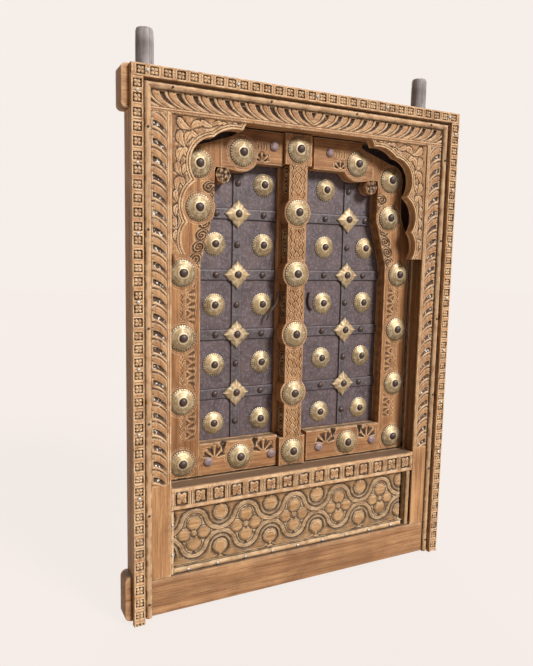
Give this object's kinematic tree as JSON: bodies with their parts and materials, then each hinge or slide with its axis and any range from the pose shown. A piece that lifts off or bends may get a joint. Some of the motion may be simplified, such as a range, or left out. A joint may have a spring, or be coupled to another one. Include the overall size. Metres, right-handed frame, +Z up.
{
  "type": "carved wooden window",
  "caption": "Carved hardwood window with a cusped arch, brass-bossed iron-clad shutters on wooden pivots, a carved transom and a fixed apron panel below.",
  "frame": {"origin": "middle of the sill's underside, halfway between the front and back faces of the frame timbers", "axes": "+X to the viewer's right, +Y into the wall, +Z up; the carved face looks along -Y"},
  "size_m": [0.779, 0.1284, 1.147],
  "materials": {
    "carved_wood": "oiled hand-carved hardwood, worn, with dust and lime in the recesses",
    "weathered_pivot_wood": "bare end of a hardwood pivot, weathered grey",
    "plain_board_wood": "sawn hardwood, dark with age",
    "aged_sheet_iron": "sheet iron under old purple-brown paint and rust",
    "strap_iron": "hammered strap iron, bluish grey with rust at the edges",
    "forged_iron": "hand-forged iron, dark",
    "beaten_brass": "beaten sheet brass, tarnished at the rims"
  },
  "bodies": {
    "frame": {"apron_bottom_bead": "carved_wood", "apron_left_bead": "carved_wood", "apron_nails": "forged_iron", "apron_panel": "carved_wood", "apron_right_bead": "carved_wood", "bead_nails": "forged_iron", "border_nails": "forged_iron", "head_beam": "carved_wood", "left_border_strip": "carved_wood", "left_jamb": "carved_wood", "left_round_bead": "carved_wood", "left_spandrel": "carved_wood", "right_border_strip": "carved_wood", "right_jamb": "carved_wood", "right_round_bead": "carved_wood", "right_spandrel": "carved_wood", "sill_beam": "carved_wood", "top_border_strip": "carved_wood", "top_round_bead": "carved_wood", "transom_beam": "carved_wood"},
    "left_shutter": {"left_back_ledges": "plain_board_wood", "left_boards": "plain_board_wood", "left_boss_nails": "forged_iron", "left_bottom_rail": "carved_wood", "left_clench_nails": "forged_iron", "left_cross_straps": "strap_iron", "left_frame_bosses": "beaten_brass", "left_iron_sheet": "aged_sheet_iron", "left_latch_hook": "forged_iron", "left_panel_bosses": "beaten_brass", "left_pivot_post": "weathered_pivot_wood", "left_stars": "beaten_brass", "left_stile": "carved_wood", "left_strap_nails": "forged_iron", "left_top_rail": "carved_wood", "left_upright_strap": "strap_iron", "meeting_column": "carved_wood"},
    "right_shutter": {"right_back_ledges": "plain_board_wood", "right_boards": "plain_board_wood", "right_boss_nails": "forged_iron", "right_bottom_rail": "carved_wood", "right_clench_nails": "forged_iron", "right_cross_straps": "strap_iron", "right_frame_bosses": "beaten_brass", "right_iron_sheet": "aged_sheet_iron", "right_latch_loop": "forged_iron", "right_panel_bosses": "beaten_brass", "right_pivot_post": "weathered_pivot_wood", "right_stars": "beaten_brass", "right_stile": "carved_wood", "right_strap_nails": "forged_iron", "right_top_rail": "carved_wood", "right_upright_strap": "strap_iron"}
  },
  "joints": [
    {"name": "left_shutter_hinge", "type": "hinge", "parent": "frame", "child": "left_shutter", "pos_m": [-0.331, 0.058, 0.6], "axis": [0, 0, 1], "range_deg": [0, 90]},
    {"name": "right_shutter_hinge", "type": "hinge", "parent": "frame", "child": "right_shutter", "pos_m": [0.331, 0.058, 0.6], "axis": [0, 0, -1], "range_deg": [0, 90]}
  ]
}
